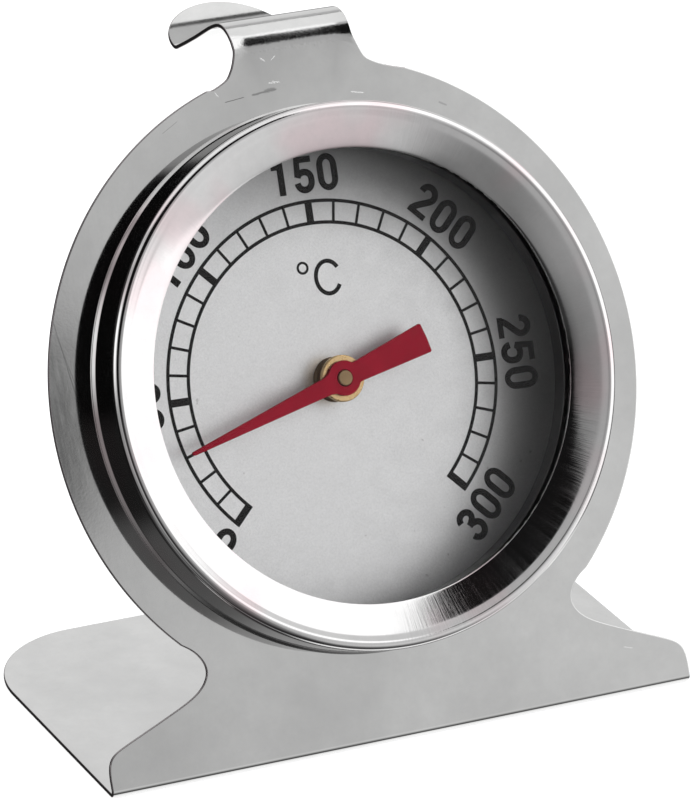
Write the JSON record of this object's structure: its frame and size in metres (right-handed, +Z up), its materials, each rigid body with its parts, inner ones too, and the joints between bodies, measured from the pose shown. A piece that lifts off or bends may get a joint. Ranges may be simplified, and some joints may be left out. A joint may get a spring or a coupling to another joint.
{
  "type": "oven thermometer",
  "caption": "Round bimetal oven thermometer in a bright rim, on a leaning sheet stand with a flat foot and a rack hook; a red needle turns over a printed Celsius dial.",
  "frame": {"origin": "on the ground, under the middle of the object's box", "axes": "+Z up, the dial faces -Y and leans back, +X to the right as seen from the front"},
  "size_m": [0.0612, 0.0486, 0.0622],
  "materials": {
    "stand_steel": "bright rolled sheet, half mirror",
    "rim_steel": "polished drawn sheet with fine turning lines",
    "case_steel": "plain drawn sheet",
    "glass": "clear flat glass",
    "dial_face": "satin with a fine grain",
    "dial_ink": "matt printed ink",
    "pointer_red": "satin red lacquer",
    "brass": "turned",
    "movement_steel": "plain strip",
    "bimetal": "rolled bimetal strip"
  },
  "bodies": {
    "case": {"stand_plate": "stand_steel", "case_cup": "case_steel", "bezel": "rim_steel", "lens": "glass", "lens_seat_ring": "case_steel", "clamp_ring": "case_steel", "dial_plate": "dial_face", "front_bush": "brass", "movement_bridge": "movement_steel", "rear_bush": "brass", "coil_anchor": "movement_steel", "coil_anchor_rivet": "movement_steel", "bimetal_coil": "bimetal", "dial_post_left": "movement_steel", "dial_post_right": "movement_steel", "back_rivet_left": "movement_steel", "back_rivet_right": "movement_steel"},
    "pointer_shaft": {"pointer": "pointer_red", "pointer_collar": "brass", "spindle": "brass", "coil_collet": "brass", "spindle_clip": "movement_steel"}
  },
  "joints": [
    {"name": "pointer_turn", "type": "hinge", "parent": "case", "child": "pointer_shaft", "pos_m": [0, -0.00802, 0.03119], "axis": [0, 0.9041, -0.4274], "range_deg": [-28.35, 241.65], "stiffness_Nm_per_rad": 0.0003, "deforming": ["bimetal_coil"]}
  ]
}
